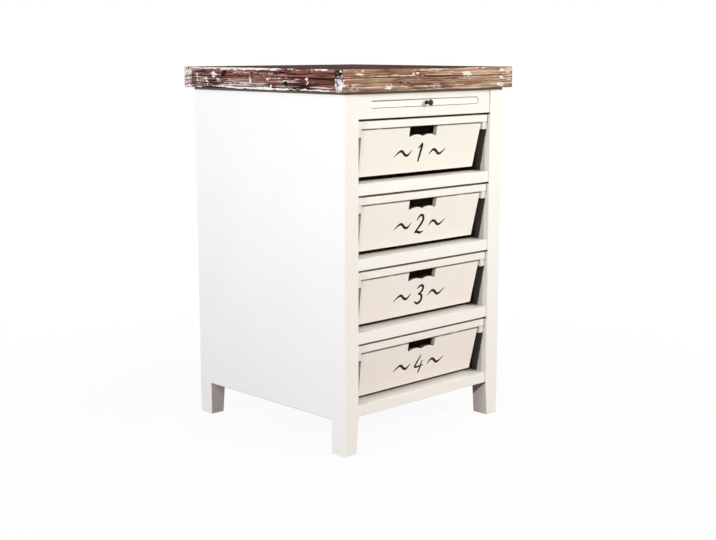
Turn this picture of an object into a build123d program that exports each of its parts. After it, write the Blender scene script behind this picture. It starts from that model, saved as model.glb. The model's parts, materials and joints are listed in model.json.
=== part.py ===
from build123d import *
import os

# Kitchen drawer unit: a painted body on four posts, a plank worktop, a pull-out board, four hanging drawers.
# Millimetres, +Z up, front towards -Y, origin on the floor under the middle of the unit.

# Overall sizes
overall_height = 800.0
top_width = 520.0
top_depth = 520.0
top_thickness = 46.0
top_overhang = 16.0          # worktop past the body on every side
base_thickness = 5.0         # thin board between the body and the worktop
edge_round = 1.2             # eased edges of the painted pieces
overrun = 5.0                # how far a cut runs past the piece

# Worktop
plank_count = 3
plank_thickness = 18.0       # also the frame of edge boards round the planks
plank_ease = 0.8             # small chamfer along the boards' edges
edge_board_width = 27.0
batten_width = 60.0
batten_place_share = 0.5     # of the way from the middle to the side edge boards

# Posts and their floor glides
post_width = 40.0
post_depth = 40.0
foot_taper = 6.0             # taken off the inner face, down to the floor
glide_diameter = 16.0
glide_height = 2.5
glide_nail_diameter = 3.0
glide_nail_length = 12.0

# Panels
side_panel_thickness = 18.0
side_panel_clear = 75.5      # floor to the lower edge of the side panels
back_panel_thickness = 6.0
bottom_panel_thickness = 6.0
rebate_width = 9.0           # step in the lowest rails that carries the bottom panel

# Rails
rail_recess = 3.0            # rails behind the front of the posts
top_rail_height = 50.0
top_rail_thickness = 20.0
rail_height = 24.0
rail_depth = 60.0
rail_clear = 80.0            # floor to the lowest rail
rear_rail_thickness = 18.0

# Pull-out board
slot_end_gap = 36.5          # slot end to the post
slot_height = 16.0
slot_drop = 21.5             # body top to the middle of the slot
slot_ease = 0.7
slot_clearance = 1.0
board_setback = 2.0          # board edge behind the face of the rail
board_travel = 250.0
board_rear_gap = 67.0        # board to the rear rail
guide_grip = 20.0            # board edge inside the guide
guide_wall = 10.0
guide_lip = 7.0
stop_depth = 14.0
stop_height = 12.0
stop_side_gap = 5.0

# Knob of the board
knob_projection = 18.0
knob_flange_diameter = 9.0
knob_flange_thickness = 1.5
knob_neck_diameter = 6.0
knob_neck_place = 6.0        # from the board to the narrowest point
knob_head_diameter = 13.0
knob_head_place = 12.5       # from the board to the widest point of the head
knob_stud_diameter = 4.0
knob_stud_length = 20.0

# Drawers and their runners
drawer_count = 4
rim_gap = 4.2                # rail above to the rim
rim_height = 16.0
rim_recess = 6.0             # rim behind the front of the posts
rim_nose = 4.0               # rim in front of the drawer front
drawer_side_gap = 2.0        # rim end to the post
drawer_rear_gap = 3.0        # rear rim to the back panel
drawer_floor_gap = 11.0      # drawer over the rail below
wall_thickness = 10.0
wall_gap = 3.5               # runner to the top of the drawer side
side_taper = 7.0             # each drawer side leans in by this much
front_lean = 19.0            # drawer front and back lean in by this much
floor_thickness = 6.0
floor_lip = 3.0              # walls below the drawer bottom
notch_width = 85.0
notch_height = 22.5
notch_corner = 4.0
scallop_height = 4.0
runner_width = 15.5
runner_height = 16.0
runner_recess = 8.0
runner_rear_gap = 10.0
slide_clearance = 0.3

# Dowels and screws
dowel_diameter = 8.0
dowel_length = 30.0
dowel_end_gap = 1.0
fastener_clearance = 0.05
screw_diameter = 4.0
screw_head_diameter = 8.0
screw_head_height = 2.6
long_screw_length = 30.0
short_screw_length = 16.0
cross_length = 4.4
cross_width = 1.0
cross_depth = 1.4
screws_per_batten = 3
screws_per_rear_rail = 3
screw_row_share = 0.7        # part of a row's length that its screws take up

# Places worked out from the sizes above
body_width = top_width - 2 * top_overhang
body_depth = top_depth - 2 * top_overhang
body_top = overall_height - top_thickness - base_thickness
base_top = body_top + base_thickness
plank_bottom = overall_height - plank_thickness
plank_half_x = top_width / 2 - edge_board_width
plank_half_y = top_depth / 2 - edge_board_width
side_x = body_width / 2
front_y = -body_depth / 2
rear_y = body_depth / 2
post_inner_x = side_x - post_width
post_inner_y = rear_y - post_depth
panel_inner_x = side_x - side_panel_thickness
rail_front_y = front_y + rail_recess
rail_back_y = rail_front_y + top_rail_thickness
rear_rail_back_y = rear_y - back_panel_thickness
rear_rail_front_y = rear_rail_back_y - rear_rail_thickness
bay_pitch = (body_top - top_rail_height - rail_clear) / drawer_count
bay_height = bay_pitch - rail_height
slot_z = body_top - slot_drop
slot_width = 2 * (post_inner_x - slot_end_gap)
board_width = slot_width - 2 * slot_clearance
board_thickness = slot_height - 2 * slot_clearance
board_front_y = rail_front_y + board_setback
stop_front_y = rail_back_y + board_travel + slide_clearance
board_back_y = rear_rail_front_y - board_rear_gap
runner_inner_x = post_inner_x - runner_width
runner_front_y = front_y + runner_recess
runner_back_y = rear_y - runner_rear_gap
screw_y_places = [front_y + post_depth / 2, rear_y - post_depth / 2]
rail_dowel_y = (rail_front_y - post_inner_y) / 2
top_rail_dowel_y = (rail_front_y + rail_back_y) / 2
rear_rail_dowel_y = (rear_rail_front_y + rear_rail_back_y) / 2
top_rail_z = body_top - top_rail_height / 2
low_rail_z = rail_clear + rail_height / 2
sides = {"left": -1, "right": 1}

os.makedirs("parts", exist_ok=True)


def save(piece, name):
    piece.part.label = name
    export_step(piece.part, f"parts/{name}.step")


# Upper face of the opening for drawer number, counted from the top
def bay_ceiling(number):
    return body_top - top_rail_height - (number - 1) * bay_pitch


# Top of the runners for drawer number
def runner_top(number):
    return bay_ceiling(number) - rim_gap - rim_height - slide_clearance


# Middle heights of the front rails below each drawer
def rail_middles():
    return [bay_ceiling(number) - bay_height - rail_height / 2 for number in range(1, drawer_count + 1)]


# Adds a board between two corners
def board_between(low, high, mode=Mode.ADD):
    with Locations(low):
        Box(*[b - a for a, b in zip(low, high)], align=Align.MIN, mode=mode)


# Countersunk screw along -Z with its head at the origin; with a gap all round it is the screw's hole
def screw_shape(length, gap=0):
    head_r = screw_head_diameter / 2 + gap
    shank_r = screw_diameter / 2 + gap
    with BuildPart() as screw:
        with BuildSketch(Plane.XZ):
            with BuildLine():
                Polyline(
                    (0, 0),
                    (head_r, 0),
                    (shank_r, -screw_head_height),
                    (shank_r, -length - gap),
                    (0, -length - gap),
                    close=True,
                )
            make_face()
        revolve(axis=Axis.Z)
        if gap == 0:
            for size in ((cross_length, cross_width), (cross_width, cross_length)):
                Box(*size, cross_depth, align=(Align.CENTER, Align.CENTER, Align.MAX), mode=Mode.SUBTRACT)
    return screw.part


# Row of places, spread over a share of a length
def spread(count, length):
    step = length * screw_row_share / (count - 1)
    return [(i - (count - 1) / 2) * step for i in range(count)]


# Dowel holes along X, half in the rail and half in the post
def drill_dowels(face_x, places):
    with Locations(*[(face_x, y, z) for y, z in places]):
        Cylinder(
            dowel_diameter / 2 + fastener_clearance,
            dowel_length + 2 * dowel_end_gap,
            rotation=(0, 90, 0),
            mode=Mode.SUBTRACT,
        )


# Screw holes at the given places
def drill_screws(hole, places):
    with Locations(*places):
        add(hole, mode=Mode.SUBTRACT)


# Places of the fasteners
front_dowels = [(top_rail_dowel_y, top_rail_z)] + [(rail_dowel_y, z) for z in rail_middles()]
rear_dowels = [(rear_rail_dowel_y, top_rail_z), (rear_rail_dowel_y, low_rail_z)]
batten_x = plank_half_x * batten_place_share
batten_length = 2 * plank_half_y
rear_rail_length = 2 * post_inner_x

runner_screw_places = {
    side: [
        Location((sign * runner_inner_x, y, runner_top(number) - runner_height / 2), (0, -90 * sign, 0))
        for number in range(1, drawer_count + 1)
        for y in screw_y_places
    ]
    for side, sign in sides.items()
}
batten_screw_places = [
    Location((sign * batten_x, y, body_top), (180, 0, 0))
    for sign in sides.values()
    for y in spread(screws_per_batten, batten_length)
]
post_screw_places = [
    Location((sign * (side_x - post_width / 2), y, base_top), (0, 0, 0))
    for sign in sides.values()
    for y in screw_y_places
]
back_screw_places = [
    Location((x, rear_y, z), (-90, 0, 0))
    for x in spread(screws_per_rear_rail, rear_rail_length)
    for z in (top_rail_z, low_rail_z)
]
glide_x = side_x - (post_width - foot_taper) / 2
glide_places = [(sign * glide_x, y, 0) for sign in sides.values() for y in screw_y_places]

long_screw = screw_shape(long_screw_length)
long_screw_hole = screw_shape(long_screw_length, fastener_clearance)
short_screw = screw_shape(short_screw_length)
short_screw_hole = screw_shape(short_screw_length, fastener_clearance)


# Nail of a floor glide, from the floor up; with a gap it is the nail's hole
def glide_nail(gap, mode):
    Cylinder(
        glide_nail_diameter / 2 + gap,
        glide_height + glide_nail_length + gap,
        align=(Align.CENTER, Align.CENTER, Align.MIN),
        mode=mode,
    )


# Posts
def make_post(name, sign, back):
    post_back_y = rear_y if back else -post_inner_y
    inner_x = sign * post_inner_x
    outer_x = sign * side_x
    foot_x = sign * (post_inner_x + foot_taper)
    with BuildPart() as post:
        with BuildSketch(Plane.XZ.offset(-post_back_y)):
            with BuildLine():
                Polyline(
                    (inner_x, body_top),
                    (outer_x, body_top),
                    (outer_x, glide_height),
                    (foot_x, glide_height),
                    (inner_x, side_panel_clear),
                    close=True,
                )
            make_face()
        extrude(amount=post_depth)
        show_face = post.faces().sort_by(Axis.Y)[-1 if back else 0]
        fillet(show_face.edges().sort_by(Axis.Z)[:-1], radius=edge_round)
        drill_dowels(inner_x, rear_dowels if back else front_dowels)
        drill_screws(long_screw_hole, runner_screw_places["left" if sign < 0 else "right"] + post_screw_places)
        with Locations(*glide_places):
            glide_nail(fastener_clearance, Mode.SUBTRACT)
    save(post, name)


for side, sign in sides.items():
    make_post(f"front_{side}_post", sign, False)
    make_post(f"rear_{side}_post", sign, True)

with BuildPart() as floor_glides:
    with Locations(*glide_places):
        Cylinder(glide_diameter / 2, glide_height, align=(Align.CENTER, Align.CENTER, Align.MIN))
        glide_nail(0, Mode.ADD)
save(floor_glides, "floor_glides")

# Side panels, flush with the outer faces of the posts
for side, sign in sides.items():
    with BuildPart() as side_panel:
        with BuildSketch(Plane.YZ.offset(sign * side_x)):
            with Locations((0, (side_panel_clear + body_top) / 2)):
                Rectangle(2 * post_inner_y, body_top - side_panel_clear)
        extrude(amount=-sign * side_panel_thickness)
        outer_face = side_panel.faces().sort_by(Axis.X)[0 if sign < 0 else -1]
        fillet(outer_face.edges().sort_by(Axis.Z)[0], radius=edge_round)
    save(side_panel, f"{side}_side_panel")

# Back panel, screwed to the rear rails
with BuildPart() as back_panel:
    board_between((-post_inner_x, rear_rail_back_y, rail_clear), (post_inner_x, rear_y, body_top))
    drill_screws(short_screw_hole, back_screw_places)
save(back_panel, "back_panel")

with BuildPart() as back_panel_screws:
    with Locations(*back_screw_places):
        add(short_screw)
save(back_panel_screws, "back_panel_screws")

# Top front rail with the round-ended slot
with BuildPart() as top_front_rail:
    board_between((-post_inner_x, rail_front_y, body_top - top_rail_height), (post_inner_x, rail_back_y, body_top))
    front_face = top_front_rail.faces().sort_by(Axis.Y)[0]
    fillet(front_face.edges().sort_by(Axis.Z)[0], radius=edge_round)
    with BuildSketch(Plane.XZ.offset(-rail_back_y)):
        with Locations((0, slot_z)):
            SlotOverall(slot_width, slot_height)
    extrude(amount=top_rail_thickness + overrun, mode=Mode.SUBTRACT)
    slot_mouth = top_front_rail.faces().sort_by(Axis.Y)[0].inner_wires()[0].edges()
    chamfer(slot_mouth, length=slot_ease)
    for sign in sides.values():
        drill_dowels(sign * post_inner_x, front_dowels[:1])
save(top_front_rail, "top_front_rail")

# Front rails, laid flat; the lowest one has a step for the bottom panel
bottom_panel_top = rail_clear + rail_height
panel_low_z = bottom_panel_top - bottom_panel_thickness
bottom_panel_corners = (
    (-post_inner_x, rail_front_y + rail_depth - rebate_width, panel_low_z),
    (post_inner_x, rear_rail_front_y + rebate_width, bottom_panel_top),
)

for number, rail_z in enumerate(rail_middles(), start=1):
    with BuildPart() as front_rail:
        board_between(
            (-post_inner_x, rail_front_y, rail_z - rail_height / 2),
            (post_inner_x, rail_front_y + rail_depth, rail_z + rail_height / 2),
        )
        rail_face = front_rail.faces().sort_by(Axis.Y)[0]
        fillet(rail_face.edges().filter_by(Axis.X), radius=edge_round)
        for sign in sides.values():
            drill_dowels(sign * post_inner_x, [(rail_dowel_y, rail_z)])
        if number == drawer_count:
            board_between(*bottom_panel_corners, mode=Mode.SUBTRACT)
    save(front_rail, f"front_rail_{number}")

# Rear rails; the lower one has the same step
rear_rails = {"top_rear_rail": (top_rail_z, top_rail_height), "bottom_rear_rail": (low_rail_z, rail_height)}
for name, (rail_z, height) in rear_rails.items():
    with BuildPart() as rear_rail:
        board_between(
            (-post_inner_x, rear_rail_front_y, rail_z - height / 2),
            (post_inner_x, rear_rail_back_y, rail_z + height / 2),
        )
        for sign in sides.values():
            drill_dowels(sign * post_inner_x, [(rear_rail_dowel_y, rail_z)])
        drill_screws(short_screw_hole, back_screw_places)
        board_between(*bottom_panel_corners, mode=Mode.SUBTRACT)
    save(rear_rail, name)

# Bottom panel, notched round the posts
with BuildPart() as bottom_panel:
    board_between(*bottom_panel_corners)
    for sign in sides.values():
        strip_x = sorted((sign * post_inner_x, sign * panel_inner_x))
        board_between((strip_x[0], -post_inner_y, panel_low_z), (strip_x[1], post_inner_y, bottom_panel_top))
save(bottom_panel, "bottom_panel")

# Dowels that join every rail to the posts
dowel_places = [(sign * post_inner_x, y, z) for sign in sides.values() for y, z in front_dowels + rear_dowels]
with BuildPart() as frame_dowels:
    with Locations(*dowel_places):
        Cylinder(dowel_diameter / 2, dowel_length, rotation=(0, 90, 0))
save(frame_dowels, "frame_dowels")

# Worktop: base board, battens, planks with a frame of edge boards, and the apron under that frame
with BuildPart() as worktop_base:
    board_between((-side_x, front_y, body_top), (side_x, rear_y, base_top))
    drill_screws(long_screw_hole, batten_screw_places + post_screw_places)
save(worktop_base, "worktop_base")

plank_width = 2 * plank_half_y / plank_count

with BuildPart() as worktop_battens:
    with Locations(*[(sign * batten_x, 0, base_top) for sign in sides.values()]):
        Box(
            batten_width,
            batten_length,
            plank_bottom - base_top,
            align=(Align.CENTER, Align.CENTER, Align.MIN),
        )
    drill_screws(long_screw_hole, batten_screw_places)
save(worktop_battens, "worktop_battens")

for number in range(1, plank_count + 1):
    plank_front_y = -plank_half_y + (number - 1) * plank_width
    with BuildPart() as plank:
        board_between(
            (-plank_half_x, plank_front_y, plank_bottom),
            (plank_half_x, plank_front_y + plank_width, overall_height),
        )
        chamfer(plank.faces().sort_by(Axis.Z)[-1].edges(), length=plank_ease)
    save(plank, f"worktop_plank_{number}")

edge_boards = {
    "front": ((-top_width / 2, -top_depth / 2), (top_width / 2, -plank_half_y)),
    "rear": ((-top_width / 2, plank_half_y), (top_width / 2, top_depth / 2)),
    "left": ((-top_width / 2, -plank_half_y), (-plank_half_x, plank_half_y)),
    "right": ((plank_half_x, -plank_half_y), (top_width / 2, plank_half_y)),
}
apron_boards = []
for place, (low, high) in edge_boards.items():
    with BuildPart() as edge_board:
        board_between((*low, plank_bottom), (*high, overall_height))
        flat_faces = edge_board.faces().sort_by(Axis.Z)
        chamfer(flat_faces[-1].edges() + flat_faces[0].edges(), length=plank_ease)
    save(edge_board, f"worktop_{place}_edge")

    with BuildPart() as apron_board:
        board_between((*low, base_top), (*high, plank_bottom))
        chamfer(apron_board.faces().sort_by(Axis.Z)[-1].edges(), length=plank_ease)
    apron_boards.append(apron_board.part)

worktop_apron = Compound(apron_boards)
worktop_apron.label = "worktop_apron"
export_step(worktop_apron, "parts/worktop_apron.step")

# Runners, screwed to the inner faces of the posts
for side, sign in sides.items():
    with BuildPart() as runners:
        for number in range(1, drawer_count + 1):
            with BuildSketch(Plane.XZ.offset(-runner_back_y)):
                with Locations((sign * (runner_inner_x + runner_width / 2), runner_top(number) - runner_height / 2)):
                    Rectangle(runner_width, runner_height)
            extrude(amount=runner_back_y - runner_front_y)
        drill_screws(long_screw_hole, runner_screw_places[side])
    save(runners, f"{side}_runners")

# Long screws of the runners and of the worktop
long_screw_places = runner_screw_places["left"] + runner_screw_places["right"]
long_screw_places += batten_screw_places + post_screw_places
with BuildPart() as long_screws:
    with Locations(*long_screw_places):
        add(long_screw)
save(long_screws, "long_screws")

# Grooved guides of the pull-out board
board_half = board_width / 2
guide_inner_x = board_half - guide_grip
guide_outer_x = board_half + slide_clearance + guide_wall
groove_height = board_thickness + 2 * slide_clearance

for side, sign in sides.items():
    with BuildPart() as guide:
        with BuildSketch(Plane.XZ.offset(-rear_rail_front_y)):
            with Locations((sign * (guide_inner_x + guide_outer_x) / 2, slot_z)):
                Rectangle(guide_outer_x - guide_inner_x, groove_height + 2 * guide_lip)
            with Locations((sign * (guide_inner_x + guide_outer_x - guide_wall) / 2, slot_z)):
                Rectangle(guide_outer_x - guide_wall - guide_inner_x, groove_height, mode=Mode.SUBTRACT)
        extrude(amount=rear_rail_front_y - rail_back_y)
    save(guide, f"board_guide_{side}")

# Pull-out board with its stop and knob
stud_r = knob_stud_diameter / 2
with BuildPart() as pull_out_board:
    with BuildSketch(Plane.XZ.offset(-board_back_y)):
        with Locations((0, slot_z)):
            SlotOverall(board_width, board_thickness)
    extrude(amount=board_back_y - board_front_y)
    chamfer(pull_out_board.faces().sort_by(Axis.Y)[0].edges(), length=slot_ease)
    with BuildSketch(Plane.XZ.offset(-board_front_y)):
        with Locations((0, slot_z)):
            Circle(stud_r + fastener_clearance)
    extrude(amount=-knob_stud_length - fastener_clearance, mode=Mode.SUBTRACT)
save(pull_out_board, "pull_out_board")

stop_half = guide_inner_x - stop_side_gap
board_bottom = slot_z - board_thickness / 2
with BuildPart() as board_stop:
    board_between(
        (-stop_half, stop_front_y, board_bottom - stop_height), (stop_half, stop_front_y + stop_depth, board_bottom)
    )
save(board_stop, "board_stop")

flange_r = knob_flange_diameter / 2
neck_r = knob_neck_diameter / 2
head_r = knob_head_diameter / 2
with BuildPart() as board_knob:
    with BuildSketch(Plane(origin=(0, board_front_y, slot_z))):
        with BuildLine():
            Polyline(
                (0, knob_stud_length),
                (stud_r, knob_stud_length),
                (stud_r, 0),
                (flange_r, 0),
                (flange_r, -knob_flange_thickness),
                (neck_r, -knob_neck_place),
            )
            TangentArc((neck_r, -knob_neck_place), (head_r, -knob_head_place), tangent=(0, -1))
            TangentArc((0, -knob_projection), (head_r, -knob_head_place), tangent=(1, 0))
            Line((0, -knob_projection), (0, knob_stud_length))
        make_face()
    revolve(axis=Axis((0, board_front_y, slot_z), (0, 1, 0)))
save(board_knob, "board_knob")

# Drawer walls: outer half width and outer front and back at the top and at the bottom
wall_top_x = runner_inner_x - wall_gap
wall_low_x = wall_top_x - side_taper
rim_half_x = post_inner_x - drawer_side_gap
rim_front_y = front_y + rim_recess
rim_back_y = rear_rail_back_y - drawer_rear_gap
wall_top_front_y = rim_front_y + rim_nose
wall_low_front_y = wall_top_front_y + front_lean
wall_top_back_y = rim_back_y - rim_nose
wall_low_back_y = wall_top_back_y - front_lean
wall_height = bay_height - rim_gap - rim_height - drawer_floor_gap


# Leaning planes that bound the walls; their normals point to +Y and to +X
def lean_plane_y(top_y, low_y, low_z):
    return Plane(origin=(0, low_y, low_z), x_dir=(1, 0, 0), z_dir=(0, wall_height, low_y - top_y))


def lean_plane_x(top_x, low_x, low_z):
    return Plane(origin=(low_x, 0, low_z), x_dir=(0, 1, 0), z_dir=(wall_height, 0, low_x - top_x))


# Outline of the scalloped finger notch, from the top edge of the drawer front down
def notch_outline():
    half = notch_width / 2
    flat = half - notch_corner
    corner_z = notch_corner - notch_height
    Polyline((-half, corner_z), (-half, overrun), (half, overrun), (half, corner_z))
    TangentArc((-half, corner_z), (-flat, -notch_height), tangent=(0, -1))
    ThreePointArc((-flat, -notch_height), (-flat / 2, scallop_height - notch_height), (0, -notch_height))
    ThreePointArc((0, -notch_height), (flat / 2, scallop_height - notch_height), (flat, -notch_height))
    TangentArc((half, corner_z), (flat, -notch_height), tangent=(0, -1))


# Drawer front or back: full width, cut to the lean of the sides; the front has the notch
def drawer_end(low_z, outer_top, outer_low, inward):
    inner_top = outer_top + inward * wall_thickness
    inner_low = outer_low + inward * wall_thickness
    top_z = low_z + wall_height
    with BuildPart() as end:
        with BuildSketch(Plane.YZ.offset(-wall_top_x)):
            with BuildLine():
                Polyline((outer_top, top_z), (inner_top, top_z), (inner_low, low_z), (outer_low, low_z), close=True)
            make_face()
        extrude(amount=2 * wall_top_x)
        split(bisect_by=lean_plane_x(-wall_top_x, -wall_low_x, low_z), keep=Keep.TOP)
        split(bisect_by=lean_plane_x(wall_top_x, wall_low_x, low_z), keep=Keep.BOTTOM)
        outer_face = end.faces().sort_by(Axis.Y)[0 if inward > 0 else -1]
        fillet(outer_face.edges().sort_by(Axis.Z)[:-1], radius=edge_round)
        if inward > 0:
            with BuildSketch(Plane(origin=(0, outer_top, top_z), x_dir=(1, 0, 0), z_dir=(0, -1, 0))):
                with BuildLine():
                    notch_outline()
                make_face()
            extrude(amount=front_lean + wall_thickness, both=True, mode=Mode.SUBTRACT)
    return end


# Drawer side between the front and the back
def drawer_side(low_z, sign):
    top_z = low_z + wall_height
    with BuildPart() as wall:
        with BuildSketch(Plane.XZ.offset(-wall_top_back_y)):
            with BuildLine():
                Polyline(
                    (sign * wall_top_x, top_z),
                    (sign * (wall_top_x - wall_thickness), top_z),
                    (sign * (wall_low_x - wall_thickness), low_z),
                    (sign * wall_low_x, low_z),
                    close=True,
                )
            make_face()
        extrude(amount=wall_top_back_y - wall_top_front_y)
        cut_at_inner_ends(low_z)
    return wall


# Trims the open part to the inner faces of the drawer front and back
def cut_at_inner_ends(low_z):
    split(
        bisect_by=lean_plane_y(wall_top_front_y + wall_thickness, wall_low_front_y + wall_thickness, low_z),
        keep=Keep.TOP,
    )
    split(
        bisect_by=lean_plane_y(wall_top_back_y - wall_thickness, wall_low_back_y - wall_thickness, low_z),
        keep=Keep.BOTTOM,
    )


# Drawer bottom, let in between all four walls
def drawer_bottom(low_z):
    inner_top_x = wall_top_x - wall_thickness
    inner_low_x = wall_low_x - wall_thickness
    floor_z = low_z + floor_lip
    with BuildPart() as bottom:
        board_between(
            (-wall_top_x, wall_top_front_y, floor_z), (wall_top_x, wall_top_back_y, floor_z + floor_thickness)
        )
        cut_at_inner_ends(low_z)
        split(bisect_by=lean_plane_x(-inner_top_x, -inner_low_x, low_z), keep=Keep.TOP)
        split(bisect_by=lean_plane_x(inner_top_x, inner_low_x, low_z), keep=Keep.BOTTOM)
    return bottom


# Rim of four battens that sit on the walls; the side battens ride on the runners
def drawer_rim(rim_z):
    inner_x = wall_top_x - wall_thickness
    inner_front_y = wall_top_front_y + wall_thickness
    inner_back_y = wall_top_back_y - wall_thickness
    top_z = rim_z + rim_height
    battens = {
        "front": ((-rim_half_x, rim_front_y), (rim_half_x, inner_front_y)),
        "back": ((-rim_half_x, inner_back_y), (rim_half_x, rim_back_y)),
        "left": ((-rim_half_x, inner_front_y), (-inner_x, inner_back_y)),
        "right": ((inner_x, inner_front_y), (rim_half_x, inner_back_y)),
    }
    pieces = []
    for place, (low, high) in battens.items():
        with BuildPart() as batten:
            board_between((*low, rim_z), (*high, top_z))
            if place in ("front", "back"):
                show_face = batten.faces().sort_by(Axis.Y)[0 if place == "front" else -1]
                fillet(show_face.edges(), radius=edge_round)
        pieces.append(batten.part)
    return Compound(pieces)


for number in range(1, drawer_count + 1):
    rim_z = bay_ceiling(number) - rim_gap - rim_height
    low_z = rim_z - wall_height

    save(drawer_end(low_z, wall_top_front_y, wall_low_front_y, 1), f"drawer_{number}_front")
    save(drawer_end(low_z, wall_top_back_y, wall_low_back_y, -1), f"drawer_{number}_back")
    for side, sign in sides.items():
        save(drawer_side(low_z, sign), f"drawer_{number}_{side}_side")
    save(drawer_bottom(low_z), f"drawer_{number}_bottom")

    rim = drawer_rim(rim_z)
    rim.label = f"drawer_{number}_rim"
    export_step(rim, f"parts/drawer_{number}_rim.step")
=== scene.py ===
import json
import math

import bpy
import numpy as np
from mathutils import Matrix, Vector, noise


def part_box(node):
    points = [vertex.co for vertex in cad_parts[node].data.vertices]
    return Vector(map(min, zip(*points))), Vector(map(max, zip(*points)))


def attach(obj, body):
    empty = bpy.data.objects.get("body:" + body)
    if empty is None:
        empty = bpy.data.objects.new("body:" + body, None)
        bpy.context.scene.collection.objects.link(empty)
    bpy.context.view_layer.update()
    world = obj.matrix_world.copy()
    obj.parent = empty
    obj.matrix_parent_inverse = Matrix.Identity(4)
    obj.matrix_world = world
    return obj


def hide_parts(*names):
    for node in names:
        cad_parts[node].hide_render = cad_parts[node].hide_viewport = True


# Kitchen drawer unit: cream painted body, worn plank worktop, pull-out board and four hanging drawers.
# Metres, +Z up, front towards -Y.
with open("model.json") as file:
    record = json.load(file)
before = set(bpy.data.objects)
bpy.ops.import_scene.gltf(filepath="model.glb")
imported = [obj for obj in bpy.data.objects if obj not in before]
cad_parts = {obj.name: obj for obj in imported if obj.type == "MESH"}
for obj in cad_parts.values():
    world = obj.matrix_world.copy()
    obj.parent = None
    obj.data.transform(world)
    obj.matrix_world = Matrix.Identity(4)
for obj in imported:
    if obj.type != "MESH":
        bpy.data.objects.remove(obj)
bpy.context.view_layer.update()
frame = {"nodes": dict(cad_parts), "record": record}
cadNodes = frame["nodes"]
drawerNumbers = (1, 2, 3, 4)
millimetres = 1000.0         # in a metre
scene = bpy.context.scene
print("frame loaded:", len(cadNodes), "nodes")


# An output socket of a node tree; arithmetic on it adds Math nodes
class Wire:
    def __init__(self, bench, socket):
        self.bench = bench
        self.socket = socket

    def __getitem__(self, name):  # another output of the same node
        return Wire(self.bench, self.socket.node.outputs[name])

    def __add__(self, other):
        return self.bench.math("ADD", self, other)

    def __sub__(self, other):
        return self.bench.math("SUBTRACT", self, other)

    def __rsub__(self, other):
        return self.bench.math("SUBTRACT", other, self)

    def __mul__(self, other):
        return self.bench.math("MULTIPLY", self, other)

    def __truediv__(self, other):
        return self.bench.math("DIVIDE", self, other)

    def __neg__(self):
        return self.bench.math("MULTIPLY", self, -1.0)

    __radd__ = __add__
    __rmul__ = __mul__


# A node tree, for a material or for a shape, with one method that adds any node
class Bench:
    def __init__(self, tree):
        self.tree = tree

    def add(self, kind, settings=None, sockets=None, out=0):  # out 0 is the first output in use
        node = self.tree.nodes.new(kind)
        for name, value in (settings or {}).items():
            setattr(node, name, value)
        for name, value in (sockets or {}).items():
            socket = node.inputs[name]
            if isinstance(name, str):
                socket = next(s for s in node.inputs if s.name == name and s.enabled)
            self.feed(socket, value)
        shown = [s for s in node.outputs if s.enabled]
        return Wire(self, shown[0] if out == 0 and shown else node.outputs[out])

    def feed(self, socket, value):
        if isinstance(value, Wire):
            self.tree.links.new(value.socket, socket)
        else:
            socket.default_value = value

    def math(self, operation, first, second=0.0):
        return self.add("ShaderNodeMath", {"operation": operation}, {0: first, 1: second})

    def smaller(self, first, second):
        return self.math("MINIMUM", first, second)

    def larger(self, first, second):
        return self.math("MAXIMUM", first, second)

    def unsigned(self, value):
        return self.math("ABSOLUTE", value)

    def vector(self, operation, first, second=(0.0, 0.0, 0.0)):
        return self.add("ShaderNodeVectorMath", {"operation": operation}, {0: first, 1: second})

    def scaled(self, first, factor):
        return self.add("ShaderNodeVectorMath", {"operation": "SCALE"}, {0: first, "Scale": factor})

    def join(self, x, y, z):
        return self.add("ShaderNodeCombineXYZ", None, {0: x, 1: y, 2: z})

    def split(self, place):
        x = self.add("ShaderNodeSeparateXYZ", None, {0: place})
        return x, x["Y"], x["Z"]

    def blend(self, first, second, factor):  # colours
        first, second = [(*c, 1.0) if isinstance(c, tuple) else c for c in (first, second)]
        return self.add("ShaderNodeMix", {"data_type": "RGBA"}, {"Factor": factor, "A": first, "B": second})

    def step(self, value, low, high):  # smooth, 0 at low and 1 at high
        return self.add(
            "ShaderNodeMapRange",
            {"interpolation_type": "SMOOTHSTEP"},
            {"Value": value, "From Min": low, "From Max": high},
        )

    def noise(self, place, scale, detail=2.0, roughness=0.5):  # one scale, or one for each axis
        scales = [scale] * 3 if isinstance(scale, float) else scale
        stretched = self.vector("MULTIPLY", place, scales)
        sockets = {"Vector": stretched, "Scale": 1.0, "Detail": detail, "Roughness": roughness}
        return self.add("ShaderNodeTexNoise", None, sockets)

    def place(self):  # of a point, in the frame that all pieces share
        return self.add("ShaderNodeTexCoord", out="Object")

    def normal(self):
        return self.split(self.add("ShaderNodeNewGeometry", out="Normal"))


# A new material with its bench and its shader
def newFinish(name):
    material = bpy.data.materials.new(name)
    material.use_nodes = True
    return material, Bench(material.node_tree), material.node_tree.nodes["Principled BSDF"]


# Sockets of the shader that vary over the surface, and the bump
def wireFinish(bench, shader, colour, roughness, relief, reliefDepth, reliefStrength=1.0):
    bench.feed(shader.inputs["Base Color"], colour)
    bench.feed(shader.inputs["Roughness"], roughness)
    sockets = {"Height": relief, "Distance": reliefDepth, "Strength": reliefStrength}
    bench.feed(shader.inputs["Normal"], bench.add("ShaderNodeBump", None, sockets))


# Noise scales of a grain or of strokes along one axis
def scalesAlong(grainAxis, along, across):
    return [along if axis == grainAxis else across for axis in "XYZ"]


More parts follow.
